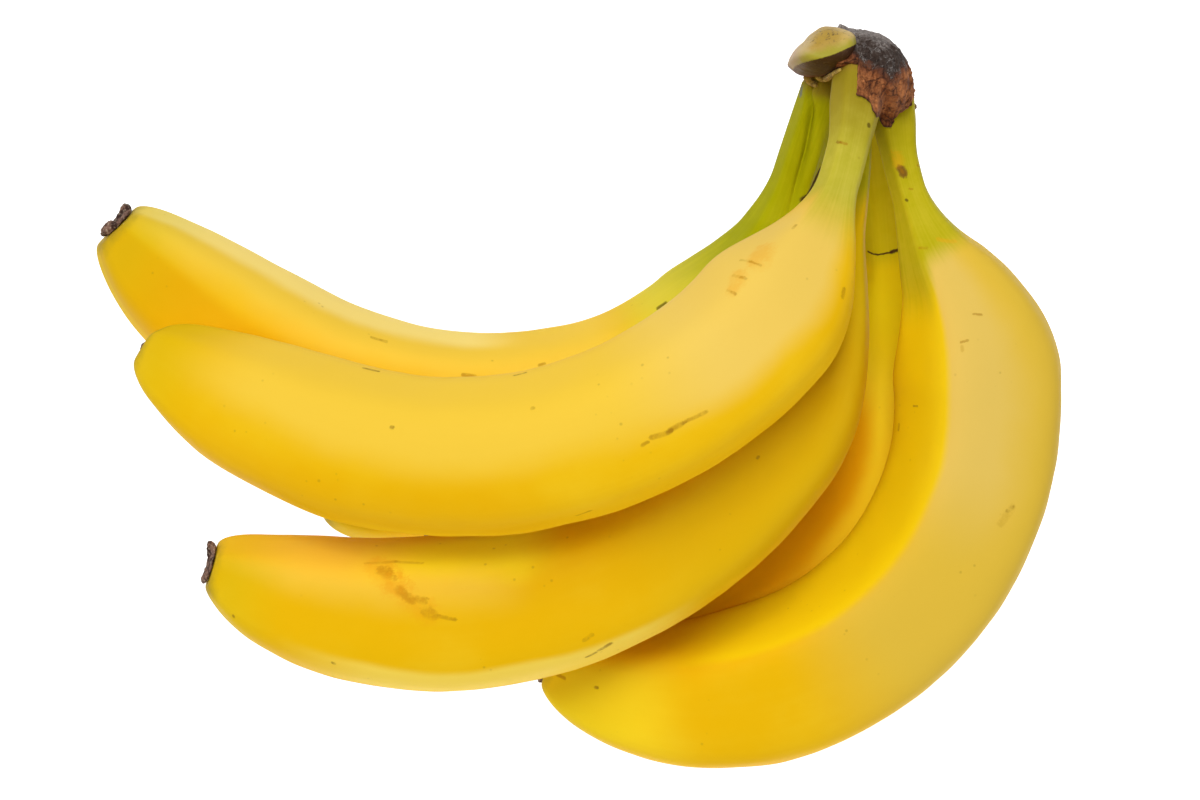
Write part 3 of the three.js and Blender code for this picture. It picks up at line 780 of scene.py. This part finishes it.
cut_colour = cut.mixed(over.eased(-0.15, 0.15), under, face)
cut_colour = cut.mixed(depth.eased(0.1, 0.5), cut_colour, DRY_DARK)
cut.feed(Base_Color=cut_colour)
cut.relief(blotch * 0.3 + fine * 0.2 + flecks * 0.2, 0.0004)
reach = stub.data.attributes.new("depth", "FLOAT", "POINT")
reach.data.foreach_set("value", share(-stub_points[:, 2], -STUB_MIDDLE - 2, 24).astype("f"))

for piece, finish in ((crown, dry), (stub, cut), (scab, dry), (neck_knob, cut)):
    piece.data.materials.append(finish.material)
    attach(piece, "root")
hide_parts("crown")

# ---- The dried skin ----
# Below the cushion the outer skin of the crown has split and dried on the necks: a thin brown
# sheet that clings to them, wrinkled, with a ragged lower edge that ends in two tongues. Tan
# scraps of it are rolled up under the stub.
SKIN_TOP = [(60, 79.6), (61.6, 81.5), (65, 82), (69, 80.5), (71, 77.6)]
SKIN_BOTTOM = [
    (59.5, 71.6), (59.4, 70.4), (60.4, 70.2), (61.4, 69.9), (62.3, 69.1), (62.9, 67.7),
    (63.4, 66.2), (64.2, 65.5), (65, 66), (65.8, 67), (66.4, 67), (66.8, 65.8), (67.3, 64.9),
    (68.1, 64.6), (69, 64.9), (69.5, 66), (70.4, 67.3), (71.6, 68.9)]
SKIN_COLUMNS, SKIN_ROWS = 230, 180
# How far the sheet's back lies in the necks, and how far down them it can reach.
SKIN_BACK, NECK_REACH = 0.9, 46


def slab(name, front, back):
    """Closed sheet between two grids of points, joined along their four edges."""
    rows, columns = front.shape[:2]
    r, c = np.arange(rows - 1), np.arange(columns - 1)
    i, j = np.meshgrid(r, c, indexing="ij")
    at = lambda i, j: i * columns + j
    face = np.stack([at(i, j), at(i + 1, j), at(i + 1, j + 1), at(i, j + 1)], -1).reshape(-1, 4)
    rim = np.concatenate([at(0, c), at(r, columns - 1), at(rows - 1, c + 1)[::-1],
                          at(r + 1, 0)[::-1]])
    on = np.roll(rim, -1)
    under = rows * columns
    walls = np.stack([rim, on, on + under, rim + under], -1)
    points = np.vstack([front.reshape(-1, 3), back.reshape(-1, 3)])
    faces = np.vstack([face, face[:, ::-1] + under, walls]).tolist()
    piece = smooth_piece(name, laid_down(points), faces)
    map_flat(piece, points)
    return piece


def front_of(pieces, x, y, cell=0.25, blur=4):
    """Height Z of the foremost skin of some clouds of points over places x, y: the highest
    point in each cell of a grid, spread and then smoothed over a few cells."""
    low = np.array([x.min() - 4, y.min() - 4])
    count = np.ceil((np.array([x.max(), y.max()]) + 4 - low) / cell).astype(int) + 1
    height = np.full(count, -60.0)
    for points in pieces:
        index = np.round((points[:, :2] - low) / cell).astype(int)
        inside = ((index >= 0) & (index < count)).all(1)
        np.maximum.at(height, tuple(index[inside].T), points[inside, 2])
    for spread in (np.maximum, lambda here, beside: (here + beside) / 2):
        for axis in (0, 1) * blur:
            beside = (np.roll(height, 1, axis) + np.roll(height, -1, axis)) / 2
            height = spread(height, beside)
    i, j = (x - low[0]) / cell, (y - low[1]) / cell
    a, b = i.astype(int), j.astype(int)
    near, far = (between(height[a, b + k], height[a + 1, b + k], i - a) for k in (0, 1))
    return between(near, far, j - b)


neck_s = np.arange(-NECK_INSET, NECK_REACH, 0.15)
neck_angle = np.linspace(0, 2 * np.pi, 400)
necks = [finger_surface(f, neck_s, neck_angle).reshape(-1, 3) for f in FINGERS.values()]
carrier = necks + [crown_points]
u = np.linspace(0, 1, SKIN_COLUMNS)[None]
v = np.linspace(0, 1, SKIN_ROWS)[:, None]
flat = between(along_line(SKIN_TOP, u[0])[None], along_line(SKIN_BOTTOM, u[0])[None], v[..., None])
ragged = np.stack([ripple(flat, 1.5, 11), ripple(flat, 1.5, 12)], -1)
flat = flat + 0.16 * ragged * v[..., None]
base = front_of(carrier, flat[..., 0], flat[..., 1])
folds = 1 - 2 * np.abs(ripple(flat * [1, 0.4], 2.6, 13))
rest = np.minimum(1, 6 * np.minimum(np.minimum(u, 1 - u), v))
lift = 0.3 + rest * (0.35 + 0.22 * folds + 0.1 * ripple(flat, 1.0, 14)) + 0.25 * v ** 6
front = np.concatenate([flat, (base + lift)[..., None]], -1)
back = np.concatenate([flat, (base - SKIN_BACK)[..., None]], -1)
dried_skin = slab("dried_skin", front, back)
edge_share = np.maximum(v ** 12, 1 - u * 26)
tear = dried_skin.data.attributes.new("torn", "FLOAT", "POINT")
tear.data.foreach_set("value", np.tile(edge_share.ravel(), 2).astype("f"))

# The rolled scraps: the line that each lies along, and its radius.
ROLLS = {
    "rolled_scrap_1": ([(48.8, 78), (49.5, 77), (50.5, 76.2), (51.4, 75.5), (51.9, 74.8)], 0.95),
    "rolled_scrap_2": ([(51.2, 77), (52.8, 76.5), (54.6, 76.3), (56.2, 77.1)], 0.75)}


def roll(name, corners, radius, seed):
    """A scrap rolled into a thin tube along a line laid on what carries it: rings of the given
    radius, uneven, narrowing to both ends."""
    t = np.linspace(0, 1, 60)
    flat = along_line(corners, t)
    flat[2:-2] = (flat[:-4] + flat[4:] + 2 * flat[2:-2]) / 4
    z = front_of(carrier, flat[:, 0], flat[:, 1])
    path = np.concatenate([flat, z[:, None]], -1)
    tangent = np.gradient(path, axis=0)
    tangent /= np.linalg.norm(tangent, axis=1, keepdims=True)
    side = np.cross(tangent, [0, 0, 1])
    side /= np.linalg.norm(side, axis=1, keepdims=True)
    up = np.cross(side, tangent)
    around = np.linspace(0, 2 * np.pi, 28, endpoint=False)
    wide = radius * np.sqrt(np.clip(4 * t * (1 - t), 0.02, 1))
    grid = (path[:, None] + (wide[:, None] * np.cos(around))[..., None] * side[:, None]
            + (wide[:, None] * np.sin(around))[..., None] * up[:, None])
    grid = grid + 0.16 * ripple(grid, 1.4, seed)[..., None] * up[:, None]
    points = np.vstack([grid.reshape(-1, 3), path[:1], path[-1:]])
    laid = laid_down(points)
    piece = closed_skin(name, laid[:-2].reshape(grid.shape), laid[-2:-1], laid[-1:])
    map_flat(piece, points)
    return piece


SCRAP_DARK, SCRAP_TAN = (0.28, 0.17, 0.025, 1), (0.60, 0.43, 0.10, 1)
scrap = Finish("rolled_skin", Roughness=0.75, Specular_IOR_Level=0.25)
fine = scrap.noise(900, 3, 0.6)
scrap.feed(Base_Color=scrap.mixed(fine.eased(0.4, 0.62), SCRAP_DARK, SCRAP_TAN))
scrap.relief(fine, 0.0004)
scraps = [roll(name, corners, radius, number)
          for number, (name, (corners, radius)) in enumerate(ROLLS.items(), 31)]
for piece, finish in [(dried_skin, dry)] + [(piece, scrap) for piece in scraps]:
    piece.data.materials.append(finish.material)
    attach(piece, "root")

# ---- The flower ends ----
# What is left of each flower: a small dry brown pad grown onto the tip, scarred and lumpy,
# with a knob or two on its rim.
TIP_GAP = 0.3
TOP_KNOB = (0.45, 0.9, 0)
# Of each pad: radius, height and how far it sits towards its top knob; then its knobs: which
# way, how high and how broad.
FLOWER_SIZES = {
    "banana_1": (4.7, 1.2, 1, [(TOP_KNOB, 1.9, 0.04), ((-0.4, -0.6, 0.8), 1.5, 0.16)]),
    "banana_2": (3.3, 0.8, 0, [(TOP_KNOB, 0.2, 0.05)]),
    "banana_3": (4.8, 0.8, 0.5, [(TOP_KNOB, 1.6, 0.05), ((-0.2, -0.9, 0.3), 0.6, 0.08)]),
    "banana_4": (4.8, 2.2, 0, [(TOP_KNOB, 0.8, 0.05)]),
    "banana_5": (4.4, 1.8, 0, [(TOP_KNOB, 1, 0.05)]),
    "banana_6": (3.8, 1, 0, [(TOP_KNOB, 0.3, 0.05)])}
PAD_ROWS, PAD_COLUMNS = 90, 120


def flower_end(name, f, radius, height, moved, knobs, seed):
    """Pad that narrows a little with height and is closed by a dented top, with lumps round
    its side, scars over its top and knobs on its rim: bell curves round each knob's side."""
    length = np.array([finger_length(f)])
    middle, tangent, across, side = (part[0] for part in finger_stations(f, length))
    beside = TOP_KNOB - tangent * (tangent @ TOP_KNOB)
    centre = middle + moved * beside / np.linalg.norm(beside)
    t = np.linspace(0, 1, PAD_ROWS)
    up = np.clip(t / 0.55, 0, 1)
    inward = np.clip((t - 0.45) / 0.55, 0, 0.98)
    around = np.linspace(0, 2 * np.pi, PAD_COLUMNS, endpoint=False)
    ring = np.stack([np.cos(around), np.sin(around)], -1)
    wide = (radius * (0.94 + 0.1 * np.sin(np.pi * up) - 0.12 * up ** 3)
            * np.sqrt(1 - inward ** 2))
    out = (TIP_GAP + height * (0.78 * up ** 0.8
                               + 0.22 * np.sin(np.pi * inward * 0.8)))[:, None]
    lumps = 1 + 0.1 * ripple(ring * 3, 3.6, seed) * (0.4 + up)[:, None]
    for knob_side, knob_height, breadth in knobs:
        knob_at = np.arctan2(side @ knob_side, across @ knob_side)
        knob = np.exp(-((np.cos(around - knob_at) - 1) / breadth) ** 2)
        out = out + knob_height * knob * (up * np.sqrt(1 - inward ** 2))[:, None]
        lumps = lumps + 0.05 * knob * up[:, None]
    reach = wide[:, None] * lumps
    points = (centre + out[..., None] * tangent + (reach * ring[:, 0])[..., None] * across
              + (reach * ring[:, 1])[..., None] * side)
    scars = (0.5 * ripple(points, 3.2, seed + 40) - 0.35 * np.abs(ripple(points, 1.5, seed + 50))
             + 0.12 * ripple(points, 0.8, seed + 60))
    rough = 0.2 + 0.17 * height
    points = points + (scars * rough * (0.2 + up[:, None]))[..., None] * tangent
    base = centre + TIP_GAP * tangent
    points = tilted(f, points, middle, tangent, 1)
    poles = laid_down(np.stack([base, points[-1].mean(0)]))
    return closed_skin(name, laid_down(points), poles[:1], poles[1:])


CORK_DARK, CORK_BROWN = (0.045, 0.018, 0.013, 1), (0.24, 0.13, 0.09, 1)
CORK_PALE, CORK_BLACK = (0.50, 0.40, 0.28, 1), (0.02, 0.012, 0.009, 1)
cork = Finish("flower_end_cork", Roughness=0.85, Specular_IOR_Level=0.25)
blotch = cork.noise(420, 4, 0.6)
fine = cork.noise(1500, 3, 0.65)
colour = cork.mixed(blotch.eased(0.42, 0.6), CORK_DARK, CORK_BROWN)
colour = cork.mixed(fine.eased(0.54, 0.68) * 0.7, colour, CORK_PALE)
colour = cork.mixed((1 - fine.eased(0.32, 0.45)) * 0.8, colour, CORK_BLACK)
cork.feed(Base_Color=colour)
cork.relief(blotch * 0.4 + fine * 0.4, 0.0006)
for number, (name, f) in enumerate(FINGERS.items(), 1):
    piece = flower_end("dry_tip_of_" + name, f, *FLOWER_SIZES[name], number)
    piece.data.materials.append(cork.material)
    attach(piece, "root")
    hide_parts(f"flower_end_{number}")

# ---- The studio ----
# A plain white table, ten soft square lights above and round it, and the camera above the front
# of the bunch.

# Half the table's side, and how far its top lies below the bunch, in metres.
TABLE_REACH, TABLE_DROP = 6, 0.0002
corners = np.array([(-1, -1, 0), (1, -1, 0), (1, 1, 0), (-1, 1, 0)]) * TABLE_REACH
floor = smooth_piece("table_top", corners - [0, 0, TABLE_DROP], [(0, 1, 2, 3)])
white = Finish("table_white", Roughness=0.8, Base_Color=(0.3, 0.3, 0.3, 1),
               Emission_Color=(1, 1, 1, 1), Emission_Strength=1.12)
floor.data.materials.append(white.material)

sky = bpy.data.worlds.new("soft_room")
sky.use_nodes = True
sky.node_tree.nodes["Background"].inputs["Strength"].default_value = 0
bpy.context.scene.world = sky

# In metres: how far the lights stand from the point that they all face.
LIGHT_DISTANCE, LIGHT_AIM = 1.5, Vector((0, 0, 0.05))


def softbox(name, azimuth, elevation, size, power):
    """A square light panel that faces the bunch, azimuth 0 in front of it and 90 on its
    right."""
    a, e = np.radians(azimuth), np.radians(elevation)
    towards = Vector((np.sin(a) * np.cos(e), -np.cos(a) * np.cos(e), np.sin(e)))
    light = bpy.data.lights.new(name, "AREA")
    light.size = size
    light.energy = power
    lamp = placed(name, light)
    lamp.location = LIGHT_AIM + towards * LIGHT_DISTANCE
    lamp.rotation_euler = (-towards).to_track_quat("-Z", "Y").to_euler()


# Each light: azimuth, elevation, side in metres and power in watts.
LIGHTS = {
    "overhead": (0, 90, 0.4, 2), "front_top": (0, 75, 0.3, 5.2), "left_top": (315, 75, 0.35, 5.6),
    "front": (0, 60, 0.35, 3.2), "left": (270, 75, 0.4, 2.4), "back_top": (157, 75, 0.4, 3.2),
    "back": (157, 15, 0.5, 3.5), "back_left": (247, 15, 0.5, 3),
    "low_right": (90, 15, 0.5, 1.2), "low_front": (0, 20, 0.5, 1.2)}
for name, light in LIGHTS.items():
    softbox(name + "_light", *light)

# In mm along the hand's own Z.
CAMERA_DISTANCE = 780
view = bpy.data.cameras.new("camera")
view.lens = 100
view.sensor_width = 36
view.clip_start = 0.01
camera = placed("camera", view)
camera_place = Vector(laid_down(np.array([0, 0, CAMERA_DISTANCE])))
camera.matrix_world = Matrix.Translation(camera_place) @ HAND_TURN.to_4x4()
bpy.context.scene.camera = camera
bpy.context.scene.view_settings.view_transform = "Standard"
